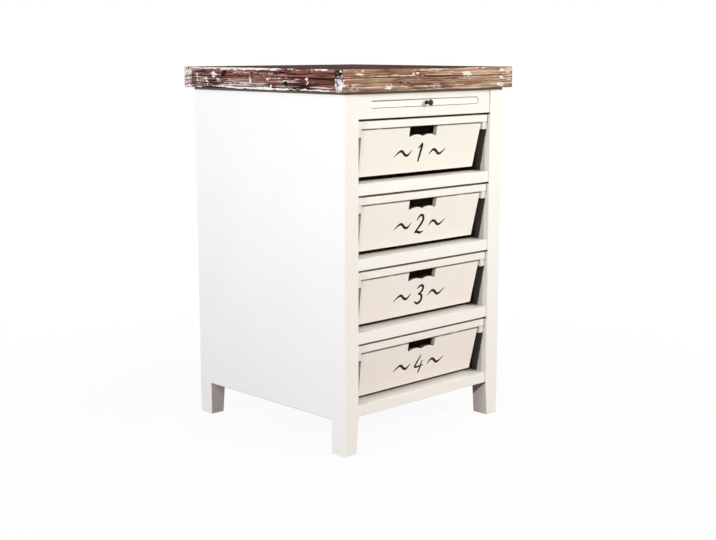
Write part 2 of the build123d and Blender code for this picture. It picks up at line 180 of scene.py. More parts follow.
# Brushed paint: strokes along one axis, faint mottling, warmer and duller towards the floor.
# The carcass's inner faces turn to dark wood from a little behind the front: painted shade for the gaps.
paintLook = {
    "creamPaint": {"fresh": (0.905, 0.89, 0.845), "aged": (0.825, 0.785, 0.745)},
    "drawerPaint": {"fresh": (0.885, 0.85, 0.785), "aged": (0.80, 0.715, 0.67)},
    "sheltered": (0.965, 0.95, 0.915),   # painted light: paler paint on faces that look up, such as the rails' tops
    "ageTop": 0.72,          # height where the paint starts to turn warmer and duller
    "ageFloor": 0.02,
    "ageMottle": 0.3,
    "strokeAlong": 6.0,      # noise scales
    "strokeAcross": 260.0,
    "mottleScale": 9.0,
    "raggedScale": 160.0,
    # noise scale of the painted shade under and over the rims
    "dirtScale": (25.0, 25.0, 90.0),
    "strokeShade": 0.05,     # how much strokes and mottling dull the colour
    "mottleShade": 0.03,
    "strokeLimits": (0.35, 0.75),   # where in each noise that starts, and where it is full
    "mottleLimits": (0.4, 0.7),
    "strokeDepth": 0.00025,
    "strokeBump": 0.5,
    "roughness": 0.42,
    "strokeRoughness": 0.18,
    "mottleRoughness": 0.1,
    "insideRoughness": 0.25,
    "insideDark": (0.026, 0.021, 0.018),
    "insidePale": (0.055, 0.043, 0.036),
    "insideGrain": (0.3, 0.7),
    "edge": 0.001,           # width over which one paint gives way to another
    "hair": 0.0002,          # and a narrower one
    "frontFacing": (0.6, 0.8),      # how squarely a face has to look that way: not at all, and fully
    "inwardFacing": (0.4, 0.6),
    "topFacing": (0.6, 0.8),
    "shelteredFacing": (0.5, 0.8),
    "lipFacing": (0.5, 0.7),
    "paintReach": 0.013,     # full paint on the inner faces, from the front; painted shade behind it
    "paintThin": 0.07,       # share of painted shade on it there
    "sprayThin": 0.38,       # and behind it, painted half shade towards the drawer fronts
    "spraySkip": 0.005,      # and ends this far before them
    "sprayRagged": 0.003,
    "sprayFade": 0.003,
    "gapHeight": 0.006,      # painted shade beside the gap over each rim
    "railPaint": 0.047,      # pale paint on the rails' tops, from the front; painted shade behind it
    "runnerPaint": 0.035,    # and on the insides of the runners
    "paintFade": 0.004,      # where these two end
    "runnerDrop": 0.0175,    # under the rims, where the runners end
    # painted shade on the runners' front ends
    "runnerThin": 0.26,
    "crevice": (0.0026, 0.00045),   # painted shade height under drawer 1's rim, and what each lower rim adds
    "creviceFade": 1.4,      # where that shade ends, as a share of the height
    "creviceDirt": (0.15, 0.115, 0.09),
    "dirtLimits": (0.1, 0.5),
    "rimGrime": (0.005, 0.010),     # painted shade on rims' tops: where it starts to fade, where it ends
    "grimeWaver": 0.008,
    "grimeCover": 0.85,
    "notchLip": (0.01, 0.04),       # heights under the rims between which the notches end
    "notchDepth": (0.03, 0.04),     # and how far back their lips go
    "notchFade": 0.002,
    "handledPost": 0.65,     # duller paint on the left post's front
    "handledRail": 0.45,     # and on the top rail's
    "rearFrom": (0.0, 0.1),  # depth between front and rear legs
    # warm tone of the painted shade inside the legs and on the runners' front ends
    "legWood": (0.36, 0.205, 0.17),
    "legThin": 0.34,         # painted shade on the insides of the legs
    "legThinRear": 0.12,     # more on the rear ones
    "legBare": 0.001,        # height of the painted shadow of the rails at the legs' tops
    "legBareRear": 0.006,    # added on the rear legs
    "legBareSlope": 0.85,    # and how much lower it reaches towards the back of the front legs
    "legRagged": 0.006,
    "legFade": 0.002,
    # how dark the painted shadow at the legs' tops and on the notch lips gets
    "bareCover": 0.9,
    "endShade": (0.70, 0.63, 0.58),   # painted shadow of the left post on the drawer fronts' left ends
    "endWidth": (0.004, 0.016),     # how far it is full, and where it ends
    "endCover": 0.4,
    "hem": 0.3,              # painted shade along the bottom of the side panels
    "hemHeight": 0.003,
}
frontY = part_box("front_left_post")[0].y
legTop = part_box("front_rail_4")[0].z
rimLow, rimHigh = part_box("drawer_1_rim")
rimPitch = rimLow.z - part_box("drawer_2_rim")[0].z


def brushPaint(finish, strokeAxis):
    material, bench, shader = newFinish(finish + "Along" + strokeAxis)
    look = paintLook
    fresh, aged = look[finish]["fresh"], look[finish]["aged"]
    place = bench.place()
    strokeScales = scalesAlong(strokeAxis, look["strokeAlong"], look["strokeAcross"])
    strokes = bench.noise(place, strokeScales, detail=3.0, roughness=0.6)
    mottle = bench.noise(place, look["mottleScale"], detail=3.0)
    height = bench.split(place)[2]
    dulling = bench.step(height, look["ageTop"], look["ageFloor"]) + (mottle - 0.5) * look["ageMottle"]
    if finish == "creamPaint":
        dulling = dulling + dullerFrontShare(bench, place)
    colour = bench.blend(fresh, aged, dulling)
    shade = bench.step(strokes, *look["strokeLimits"]) * look["strokeShade"]
    shade = shade + bench.step(mottle, *look["mottleLimits"]) * look["mottleShade"]
    colour = bench.blend(colour, aged, shade)
    roughness = look["roughness"] + (strokes - 0.5) * look["strokeRoughness"]
    roughness = roughness + (mottle - 0.5) * look["mottleRoughness"]
    if finish == "creamPaint":
        # Painted light: faces that look up get paler paint, as if lit from above
        litTopShare = bench.step(bench.normal()[2], *look["shelteredFacing"])
        colour = bench.blend(colour, look["sheltered"], litTopShare)
        inside = insideShare(bench, place)
        grain = bench.step(strokes, *look["insideGrain"])
        wood = bench.blend(look["insideDark"], look["insidePale"], grain)
        faintShade, bareAndShade = legShare(bench, place)
        # Painted shade: warm darkening inside the legs, along the side panels' bottoms and on the runners'
        # ends
        colour = bench.blend(colour, look["legWood"], faintShade)
        colour = bench.blend(colour, look["legWood"], runnerShare(bench, place) * look["runnerThin"])
        # Painted shade: dark wood on the carcass's inner faces and at the legs' tops
        colour = bench.blend(colour, wood, bench.larger(inside, bareAndShade))
        roughness = roughness + inside * look["insideRoughness"]
    else:
        # Painted shade: the left post's shadow, the corners under the rims, the rims' tops and the notch
        # lips
        colour = bench.blend(colour, look["endShade"], postShadowShare(bench, place))
        colour = bench.blend(colour, look["creviceDirt"], creviceShare(bench, place))
        colour = bench.blend(colour, look["insideDark"], notchShadeShare(bench, place))
    wireFinish(bench, shader, colour, roughness, strokes, look["strokeDepth"], look["strokeBump"])
    return material


# 1 on faces that look to the front
def frontShare(bench):
    return bench.step(-bench.normal()[1], *paintLook["frontFacing"])


# 1 on faces that look into the carcass
def inwardShare(bench, x, y):
    nx, ny = bench.normal()[:2]
    inward = bench.larger(-(nx * bench.math("SIGN", x)), -(ny * bench.math("SIGN", y)))
    return bench.step(inward, *paintLook["inwardFacing"])


# How far a height lies under the next rim over it
def underRim(bench, z):
    return bench.math("FRACT", (rimLow.z - z) / rimPitch) * rimPitch


# Uneven end of a coat of paint
def raggedEnd(bench, place, depth):
    return (bench.noise(place, paintLook["raggedScale"]) - 0.5) * depth


# Duller paint on the front of the left post, then on the top rail
def dullerFrontShare(bench, place):
    look, edge = paintLook, paintLook["edge"]
    x, y, z = bench.split(place)
    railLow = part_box("top_front_rail")[0]
    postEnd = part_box("front_left_post")[1].x
    post = bench.step(x, postEnd + edge, postEnd) * look["handledPost"]
    rail = bench.step(z, railLow.z - edge, railLow.z) * bench.step(y, railLow.y + edge, railLow.y + edge / 2)
    rail = rail * bench.step(bench.unsigned(x), -postEnd, -postEnd - edge) * look["handledRail"]
    return bench.larger(post, rail) * frontShare(bench)


# Plane of a drawer front: the largest triangle that faces the front
def frontPlane(nodeName):
    squarely = 0.9           # least share of its normal along -Y
    faces = [f for f in cadNodes[nodeName].data.polygons if f.normal.y < -squarely]
    face = max(faces, key=lambda f: f.area)
    return face.center.copy(), face.normal.copy()


# 1 where painted shade darkens faces that look into the carcass, above the legs: it starts at the rims,
# behind the leaning drawer fronts, at the gaps between them, and on the rails' tops under the drawers.
def insideShare(bench, place):
    look, edge, hair = paintLook, paintLook["edge"], paintLook["hair"]
    point, normal = frontPlane("drawer_1_front")
    x, y, z = bench.split(place)
    drop = underRim(bench, z)
    leaning = (drop + (point.z - rimLow.z)) * (normal.z / normal.y) + (point.y - frontY - look["spraySkip"])
    rimTop = rimPitch - (rimHigh.z - rimLow.z)
    gapLow = rimTop - look["gapHeight"]
    atRim = bench.step(drop, rimTop - hair, rimTop + hair)
    atGap = bench.step(drop, gapLow, gapLow + edge / 2) * (1 - atRim)
    paintEnd = leaning * (1 - atRim) * (1 - atGap) + atRim * (rimLow.y - frontY)
    depth = y - frontY + raggedEnd(bench, place, look["sprayRagged"])
    reach, railEnd = look["paintReach"], look["railPaint"]
    faintShade = bench.step(depth, reach, reach + edge) * (look["sprayThin"] - look["paintThin"])
    bareAndShade = bench.larger(bench.step(depth - paintEnd, 0.0, look["sprayFade"]), faintShade + look["paintThin"])
    shadeInside = inwardShare(bench, x, y) * bareAndShade * (1 - runnerShare(bench, place))
    onTop = bench.step(bench.normal()[2], *look["topFacing"])
    shadeTop = onTop * bench.step(depth, railEnd, railEnd + look["paintFade"])
    return bench.larger(shadeInside, shadeTop) * bench.step(z, legTop, legTop + edge)


# 1 on the front ends of the runners, as far back as they are painted; they also get a warm painted shade
def runnerShare(bench, place):
    look, edge = paintLook, paintLook["edge"]
    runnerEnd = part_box("right_runners")[1].x
    x, y, z = bench.split(place)
    beside = bench.step(bench.unsigned(x), runnerEnd - edge / 2, runnerEnd - edge)
    upper = bench.step(underRim(bench, z), look["runnerDrop"], look["runnerDrop"] - edge)
    paintEnd = frontY + look["runnerPaint"]
    return beside * upper * bench.step(y, paintEnd + look["paintFade"], paintEnd)


# Painted shade inside the legs and along the side panels' bottoms, then painted shadow at the legs' tops
def legShare(bench, place):
    look, edge = paintLook, paintLook["edge"]
    panelLow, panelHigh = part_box("left_side_panel")
    x, y, z = bench.split(place)
    atRear = bench.step(y, *look["rearFrom"])
    inside = inwardShare(bench, x, y) * bench.step(z, legTop + edge, legTop)
    leg = inside * (atRear * look["legThinRear"] + look["legThin"])
    lower = (y - frontY) * (1 - atRear) * look["legBareSlope"] + atRear * look["legBareRear"]
    height = z + lower + raggedEnd(bench, place, look["legRagged"])
    shadeEnd, fade = legTop - look["legBare"], look["legFade"]
    bareAndShade = inside * bench.step(height, shadeEnd - fade, shadeEnd + fade) * look["bareCover"]
    between = bench.step(bench.unsigned(y), panelHigh.y, panelHigh.y - edge)
    sideways = bench.step(bench.unsigned(bench.normal()[0]), *look["inwardFacing"])
    hem = bench.step(z, panelLow.z + look["hemHeight"], panelLow.z + edge) * sideways
    return bench.larger(leg, hem * between * look["hem"]), bareAndShade


# Painted shadow of the left post on the left ends of the drawer fronts
def postShadowShare(bench, place):
    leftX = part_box("drawer_1_front")[0].x
    near, far = paintLook["endWidth"]
    atEnd = bench.step(bench.split(place)[0], leftX + far, leftX + near)
    return atEnd * frontShare(bench) * paintLook["endCover"]


# Painted shade in the corner under each rim and on the rim's top at the front
def creviceShare(bench, place):
    look, hair = paintLook, paintLook["hair"]
    firstHeight, growth = look["crevice"]
    shadeFades, shadeEnds = look["rimGrime"]
    y, z = bench.split(place)[1:]
    waver = bench.noise(place, look["dirtScale"], detail=3.0)
    wavyY = y + (waver - 0.5) * look["grimeWaver"]
    share = 0.0
    for number in drawerNumbers:
        low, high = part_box(f"drawer_{number}_rim")
        dirtHeight = firstHeight + growth * (number - 1)
        under = low.z - z
        corner = bench.step(under, dirtHeight * look["creviceFade"], dirtHeight)
        corner = corner * bench.step(under, -hair, 0.0)
        onTop = bench.step(bench.unsigned(z - high.z), hair * 4, hair * 2)
        topShade = onTop * bench.step(wavyY, low.y + shadeEnds, low.y + shadeFades) * look["grimeCover"]
        share = bench.larger(share, bench.larger(corner, topShade))
    return share * bench.step(waver, *look["dirtLimits"])


# Painted shade: the lip of each finger notch is dark
def notchShadeShare(bench, place):
    look, fade = paintLook, paintLook["notchFade"]
    notchTop, notchFloor = look["notchLip"]
    lipFades, lipEnds = look["notchDepth"]
    y, z = bench.split(place)[1:]
    drop = underRim(bench, z)
    lip = bench.step(drop, notchTop, notchTop + fade) * bench.step(drop, notchFloor, notchFloor - fade)
    lip = lip * bench.step(bench.normal()[2], *look["lipFacing"])
    return lip * bench.step(y, rimLow.y + lipEnds, rimLow.y + lipFades) * look["bareCover"]


# Bare wood for the pieces inside: dark in the carcass, as painted shade like its inner faces; light for the
# rest
bareWoodLook = {
    "light": {"early": (0.62, 0.45, 0.29), "late": (0.42, 0.27, 0.15)},
    "dark": {"early": (0.10, 0.074, 0.056), "late": (0.045, 0.033, 0.026)},
    "darkNodes": ("back_panel", "bottom_panel", "board_guide_left", "board_guide_right"),
    "bandAlong": 1.6,        # noise scales
    "bandAcross": 55.0,
    "fibreAlong": 14.0,
    "fibreAcross": 620.0,
    "wanderScale": 5.0,
    "wander": 0.03,          # how far the bands stray
    "bandLimits": (0.35, 0.65),
    "bandShare": 0.75,
    "fibreShare": 0.5,
    "grainDepth": 0.0003,
    "grainBump": 0.6,
    "roughness": 0.62,
    "fibreRoughness": 0.2,
    "outsideFacing": (0.5, 0.6),
    "outsideFade": 0.002,
}


def bareWood(tones, grainAxis):
    material, bench, shader = newFinish(tones + "WoodAlong" + grainAxis)
    look = bareWoodLook
    colour, roughness, fibre = bareWoodParts(bench, tones, grainAxis)
    if tones == "dark":      # the back panel is dark inside only
        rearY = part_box("back_panel")[0].y
        depth = bench.split(bench.place())[1]
        outside = bench.step(bench.normal()[1], *look["outsideFacing"])
        outside = outside * bench.step(depth, rearY, rearY + look["outsideFade"])
        colour = bench.blend(colour, bareWoodParts(bench, "light", grainAxis)[0], outside)
    wireFinish(bench, shader, colour, roughness, fibre, look["grainDepth"], look["grainBump"])
    return material


def bareWoodParts(bench, tones, grainAxis):
    look = bareWoodLook
    place = bench.place()
    bandScales = scalesAlong(grainAxis, look["bandAlong"], look["bandAcross"])
    fibreScales = scalesAlong(grainAxis, look["fibreAlong"], look["fibreAcross"])
    wander = bench.noise(place, look["wanderScale"], detail=1.0)
    drift = bench.vector("ADD", place, bench.scaled(wander["Color"], look["wander"]))
    bands = bench.noise(drift, bandScales, detail=3.0, roughness=0.55)
    fibre = bench.noise(place, fibreScales, detail=2.0, roughness=0.6)
    grain = bench.step(bands, *look["bandLimits"]) * look["bandShare"]
    grain = grain + (fibre - 0.5) * look["fibreShare"]
    colour = bench.blend(look[tones]["early"], look[tones]["late"], grain)
    return colour, look["roughness"] + (fibre - 0.5) * look["fibreRoughness"], fibre


# Worn boards of the worktop: lined grain, dark splits, knots, stains and rests of white paint
agedWoodLook = {
    "paint": (0.88, 0.85, 0.80),
    "stain": (0.012, 0.009, 0.010),
    "front": {"dark": (0.14, 0.068, 0.047), "mid": (0.335, 0.175, 0.115), "other": (0.375, 0.245, 0.155),
              "pale": (0.62, 0.44, 0.325), "worn": (0.72, 0.58, 0.48)},
    "side": {"dark": (0.024, 0.008, 0.008), "mid": (0.130, 0.046, 0.039), "other": (0.240, 0.088, 0.056),
             "pale": (0.42, 0.25, 0.21), "worn": (0.62, 0.53, 0.52)},
    "top": {"dark": (0.016, 0.005, 0.005), "pale": (0.100, 0.038, 0.032)},
    "wanderScale": (6.0, 22.0, 22.0),
    "wander": 0.012,         # how far the straying noises leave the straight grain
    "straying": ("bands", "lines", "splits"),
    "noises": {              # scales along, across and up the board, then detail and roughness
        "bands": ((3.0, 120.0, 120.0), 3.0, 0.6),
        "lines": ((5.0, 340.0, 340.0), 2.0, 0.55),
        "fibre": ((20.0, 700.0, 700.0), 2.0, 0.65),
        "patch": ((9.0, 30.0, 30.0), 2.0, 0.5),
        "hue": ((8.0, 34.0, 34.0), 2.0, 0.6),
        "flakes": ((60.0, 170.0, 170.0), 3.0, 0.6),
        "chips": ((190.0, 430.0, 430.0), 2.0, 0.6),
        "splits": ((2.2, 90.0, 90.0), 1.0, 0.5),
        "cracks": ((1.0, 95.0, 60.0), 1.0, 0.5),
    },
    "mixes": {               # what each of them adds
        "tone": {"bands": 0.34, "lines": 0.5, "fibre": 0.16, "patch": 0.22},
        "topTone": {"hue": 0.35},
        "knot": {"flakes": 0.75, "lines": 0.5},
        "worn": {"lines": 2.4, "fibre": 1.2},
        "stain": {"flakes": 2.2, "chips": 1.0, "lines": 0.9},
        "paint": {"flakes": 1.3, "chips": 0.9, "lines": 1.1, "fibre": 0.7},
        "paintDirt": {"chips": 0.6, "lines": 0.4},
        "roughness": {"fibre": 0.2},
        "relief": {"fibre": 0.3, "lines": 0.3, "bands": 0.3},
    },
    "limits": {              # where a mix starts to show and where it shows fully
        "mid": (0.40, 0.49), "pale": (0.51, 0.60), "other": (0.42, 0.58), "topTone": (0.36, 0.62),
        "knot": (0.6, 1.3), "worn": (0.38, 0.72), "stain": (0.43, 0.66), "paint": (0.46, 0.62),
        "paintDirt": (0.45, 0.7), "split": (0.004, 0.028), "splitPatch": (0.4, 0.56), "crack": (0.008, 0.03),
        "endFacing": (0.7, 0.9), "topFacing": (0.6, 0.95),
    },
    "splitDark": 0.85,
    "crackDark": 0.9,
    "knotRings": 9.0,
    "knotPale": 0.5,
    "knotDark": 0.85,
    "wornMark": 0.8,         # weight of the marks among the noises
    "stainMark": 0.9,
    "arrisPaint": 0.1,
    "paintDirt": 0.5,
    "paintOnTop": 0.75,
    "roughness": 0.7,
    "paintGloss": 0.14,
    "splitRelief": 0.9,
    "paintRelief": 0.5,
    "grainDepth": 0.0006,
    "grainBump": 0.8,
    "gloss": 0.03,
}


def agedWood(tones):
    material, bench, shader = newFinish(tones + "AgedWood")
    look, shades = agedWoodLook, agedWoodLook[tones]
    place = bench.add("ShaderNodeAttribute", {"attribute_name": "boardPlace"}, out="Vector")
    arris = bench.add("ShaderNodeAttribute", {"attribute_name": "arris"}, out="Fac")
    wear = bench.add("ShaderNodeAttribute", {"attribute_name": "wear"}, out="Vector")
    knot = bench.add("ShaderNodeAttribute", {"attribute_name": "knot"}, out="Fac")
    white, worn, stain = bench.split(wear)
    facing = bench.normal()

    wander = bench.noise(place, look["wanderScale"])
    drift = bench.vector("ADD", place, bench.scaled(wander["Color"], look["wander"]))
    noises = {}
    for kind, values in look["noises"].items():
        noises[kind] = bench.noise(drift if kind in look["straying"] else place, *values)

    def mixed(name):         # noises about their middle, each by its weight
        return sum(((noises[kind] - 0.5) * weight for kind, weight in look["mixes"][name].items()), 0.0)

    def shown(amount, name):
        return bench.step(amount, *look["limits"][name])

    split = 1 - shown(bench.unsigned(noises["splits"] - 0.5), "split")
    split = split * shown(noises["patch"], "splitPatch")
    tone = mixed("tone") + 0.5
    mid = bench.blend(shades["mid"], shades["other"], shown(noises["hue"], "other"))
    wood = bench.blend(shades["dark"], mid, shown(tone, "mid"))
    wood = bench.blend(wood, shades["pale"], shown(tone, "pale"))
    wood = bench.blend(wood, shades["dark"], split * look["splitDark"])

    # Knots: pale, with a dark heart and a dark rim that fades into the grain
    ruffled = knot + mixed("knot")
    rings = bench.math("SINE", ruffled * look["knotRings"]) * 0.5 + 0.5
    nearKnot = 1 - shown(ruffled, "knot")
    wood = bench.blend(wood, shades["worn"], nearKnot * look["knotPale"])
    wood = bench.blend(wood, shades["dark"], nearKnot * rings * look["knotDark"])

    # Places rubbed pale, then stains; both keep to the lines of the grain
    wood = bench.blend(wood, shades["worn"], shown(worn * look["wornMark"] + mixed("worn"), "worn"))
    wood = bench.blend(wood, look["stain"], shown(stain * look["stainMark"] + mixed("stain"), "stain"))

    # Paint holds on in ragged flakes, and a little at the arrises
    cover = shown(white + arris * look["arrisPaint"] + mixed("paint"), "paint")
    dirt = shown(mixed("paintDirt") + 0.5, "paintDirt") * look["paintDirt"]
    colour = bench.blend(wood, bench.blend(look["paint"], shades["worn"], dirt), cover)

    # End grain of the front and rear boards: fine cracks that cross wood and paint
    crack = 0.0
    if tones == "front":
        crack = 1 - shown(bench.unsigned(noises["cracks"] - 0.5), "crack")
        crack = crack * shown(bench.unsigned(facing[0]), "endFacing")
        colour = bench.blend(colour, look["stain"], crack * look["crackDark"])

    # Dark patina on the top
    patina = shown(facing[2], "topFacing") * (1 - cover * look["paintOnTop"])
    topTone = shown(tone + mixed("topTone"), "topTone")
    colour = bench.blend(colour, bench.blend(look["top"]["dark"], look["top"]["pale"], topTone), patina)

    roughness = look["roughness"] - cover * look["paintGloss"] + mixed("roughness")
    relief = mixed("relief") - split * look["splitRelief"] - crack + cover * look["paintRelief"]
    shader.inputs["Specular IOR Level"].default_value = look["gloss"]
    wireFinish(bench, shader, colour, roughness, relief, look["grainDepth"], look["grainBump"])
    return material


# Pull-out board: painted front edge, bare wood behind it
boardLook = {
    "paintDepth": 0.012,
    "raggedScale": (70.0, 20.0, 70.0),
    "ragged": 0.012,
    "paintEdge": 0.001,
    "strokeShade": 0.1,
    "strokeLimits": (0.3, 0.8),
    "dirtHeight": (0.0022, 0.0006),   # painted shade under the edge's top: where it starts, where it is full
    "dirt": 0.3,
    "dirtLeft": 0.5,         # added at the left
    "dirtFrom": (0.03, -0.1),   # between these places
}


def boardFinish():
    material, bench, shader = newFinish("pullOutBoard")
    look, paintTones = boardLook, paintLook["creamPaint"]
    low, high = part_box("pull_out_board")
    wood, woodRoughness, fibre = bareWoodParts(bench, "light", "X")
    place = bench.place()
    across, depth, height = bench.split(place)
    ragged = (bench.noise(place, look["raggedScale"], detail=3.0) - 0.5) * look["ragged"]
    paintEnd, edge = low.y + look["paintDepth"], look["paintEdge"]
    bareAndShade = bench.step(depth + ragged, paintEnd - edge, paintEnd + edge)
    strokeScales = scalesAlong("X", paintLook["strokeAlong"], paintLook["strokeAcross"])
    strokes = bench.noise(place, strokeScales, detail=3.0, roughness=0.6)
    strokeShade = bench.step(strokes, *look["strokeLimits"]) * look["strokeShade"]
    paint = bench.blend(paintTones["fresh"], paintTones["aged"], strokeShade)
    # Painted shade of the slot's upper lip along the top of the painted edge, heavier at the left
    dirtStarts, dirtFull = look["dirtHeight"]
    dirt = bench.step(across, *look["dirtFrom"]) * look["dirtLeft"] + look["dirt"]
    dirt = dirt * bench.step(height, high.z - dirtStarts, high.z - dirtFull)
    colour = bench.blend(bench.blend(paint, paintLook["creviceDirt"], dirt), wood, bareAndShade)
    roughness = woodRoughness * bareAndShade + paintLook["roughness"] * (1 - bareAndShade)
    grainDepth, grainBump = bareWoodLook["grainDepth"], bareWoodLook["grainBump"]
    wireFinish(bench, shader, colour, roughness, fibre * bareAndShade, grainDepth, grainBump)
    return material


# Small finishes: two colours mixed by a fine and a broad noise, each with its scale, detail, roughness and
# share. Where there are limits, the mix starts to show at the first and shows fully at the second.
smallLooks = {
    "baseWood": {            # plain brown board under the worktop
        "dark": (0.09, 0.055, 0.038), "pale": (0.24, 0.155, 0.1),
        "fine": ((30.0, 30.0, 900.0), 2.0, 0.5), "fineShare": 0.4,
        "broad": ((3.0, 3.0, 260.0), 2.0, 0.5), "broadShare": 0.6,
        "roughness": 0.6, "fineRoughness": 0.2, "depth": 0.0003, "bump": 0.6,
    },
    "knobIron": {            # dark iron with brown patina, rubbed brighter on the high places
        "dark": (0.014, 0.010, 0.010), "pale": (0.055, 0.036, 0.028),
        "fine": (420.0, 4.0, 0.6), "fineShare": 0.5,
        "broad": (160.0, 2.0, 0.5), "broadShare": 0.6, "limits": (0.52, 0.72),
        "roughness": 0.55, "mixRoughness": -0.12, "metal": 0.4, "mixMetal": 0.4,
        "depth": 0.0004, "bump": 0.5,
    },
    "screwSteel": {          # zinc with its spangle
        "dark": (0.42, 0.41, 0.38), "pale": (0.68, 0.66, 0.6),
        "fine": (900.0, 3.0, 0.6), "fineShare": 1.0,
        "roughness": 0.28, "mixRoughness": 0.25, "metal": 1.0, "depth": 0.0001, "bump": 0.4,
    },
    "glidePlastic": {        # dark plastic with scuffs
        "dark": (0.03, 0.028, 0.026), "pale": (0.075, 0.07, 0.066),
        "fine": (1500.0, 2.0, 0.5), "fineShare": 0.0,
        "broad": (90.0, 3.0, 0.5), "broadShare": 1.0,
        "roughness": 0.5, "fineRoughness": 0.3, "depth": 0.0001, "bump": 0.5,
    },
    "numeralPaint": {        # thin black-brown paint, dragged by the brush
        "dark": (0.006, 0.006, 0.007), "pale": (0.03, 0.027, 0.026),
        "fine": (320.0, 3.0, 0.6), "fineShare": 1.0, "limits": (0.5, 0.85),
        "roughness": 0.6, "fineRoughness": 0.25, "gloss": 0.15, "depth": 0.0001, "bump": 0.5,
    },
}


def smallFinish(name):
    material, bench, shader = newFinish(name)
    look = smallLooks[name]
    place = bench.place()
    fine = bench.noise(place, *look["fine"])
    mix = fine * look["fineShare"]
    if "broad" in look:
        mix = mix + bench.noise(place, *look["broad"]) * look["broadShare"]
    if "limits" in look:
        mix = bench.step(mix, *look["limits"])
    roughness = look["roughness"] + (fine - 0.5) * look.get("fineRoughness", 0.0)
    roughness = roughness + mix * look.get("mixRoughness", 0.0)
    if "gloss" in look:
        shader.inputs["Specular IOR Level"].default_value = look["gloss"]
    if "mixMetal" in look:
        bench.feed(shader.inputs["Metallic"], look["metal"] + mix * look["mixMetal"])
    elif "metal" in look:
        shader.inputs["Metallic"].default_value = look["metal"]
    colour = bench.blend(look["dark"], look["pale"], mix)
    wireFinish(bench, shader, colour, roughness, fine, look["depth"], look["bump"])
    return material


paints = {"creamPaint" + axis: brushPaint("creamPaint", axis) for axis in "XYZ"}
paints.update({"drawerPaint" + axis: brushPaint("drawerPaint", axis) for axis in "XY"})
woods = {tones + axis: bareWood(tones, axis) for tones in ("light", "dark") for axis in "XY"}
agedWoods = {tones: agedWood(tones) for tones in ("front", "side")}
pullOutBoard = boardFinish()
smallFinishes = {name: smallFinish(name) for name in smallLooks}
print("finishes made:", len(bpy.data.materials))


# Every CAD node gets the finish of its slot, with strokes or grain along the piece
def nodeFinish(name):
    slot = next(p["material_slot"] for p in frame["record"]["subparts"] if p["node"] == name)
    low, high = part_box(name)
    sides = list(high - low)
    longAxis = "XYZ"[sides.index(max(sides))]
    if slot == "cream_paint":
        return pullOutBoard if name == "pull_out_board" else paints["creamPaint" + longAxis]
    if slot == "drawer_paint":
        return paints["drawerPaint" + ("Y" if longAxis == "Y" else "X")]
    if slot == "plain_wood":
        tones = "dark" if name in bareWoodLook["darkNodes"] else "light"
        return woods[tones + ("Y" if longAxis == "Y" else "X")]
    if slot == "aged_wood":
        return smallFinishes["baseWood"] if name == "worktop_base" else agedWoods["front"]
    small = {"dark_iron": "knobIron", "screw_steel": "screwSteel", "glide_plastic": "glidePlastic"}
    return smallFinishes[small[slot]]


for name, node in cadNodes.items():
    node.data.materials.clear()
    node.data.materials.append(nodeFinish(name))
print("finishes given to the frame")


# A shape tree with named inputs; kinds are Vector, Float, Int or Material
def newShapeTree(name, inputs):
    tree = bpy.data.node_groups.new(name, "GeometryNodeTree")
    tree.is_modifier = True
    for inputName, kind in inputs.items():
        tree.interface.new_socket(name=inputName, in_out="INPUT", socket_type="NodeSocket" + kind)
    tree.interface.new_socket(name="Geometry", in_out="OUTPUT", socket_type="NodeSocketGeometry")
    bench = Bench(tree)
    return tree, bench, bench.add("NodeGroupInput")


# Closes a tree: instances made real, then the material
def endShapeTree(bench, shape, material):
    solid = bench.add("GeometryNodeRealizeInstances", None, {"Geometry": shape})
    painted = bench.add("GeometryNodeSetMaterial", None, {"Geometry": solid, "Material": material})
    end = bench.tree.nodes.new("NodeGroupOutput")
    bench.feed(end.inputs[0], painted)


# Runs a tree on an object's data and keeps the result as a plain mesh object
def growPiece(name, tree, values, source=None):
    data = source or bpy.data.meshes.new(name + "Seed")
    grower = bpy.data.objects.new(name + "Grower", data)
    scene.collection.objects.link(grower)
    modifier = grower.modifiers.new("shape", "NODES")
    modifier.node_group = tree
    for item in tree.interface.items_tree:
        if item.in_out == "INPUT" and item.name in values:
            modifier[item.identifier] = values[item.name]
    bpy.context.view_layer.update()
    evaluated = grower.evaluated_get(bpy.context.evaluated_depsgraph_get())
    mesh = bpy.data.meshes.new_from_object(evaluated)
    bpy.data.objects.remove(grower)
    piece = bpy.data.objects.new(name, mesh)
    scene.collection.objects.link(piece)
    return piece


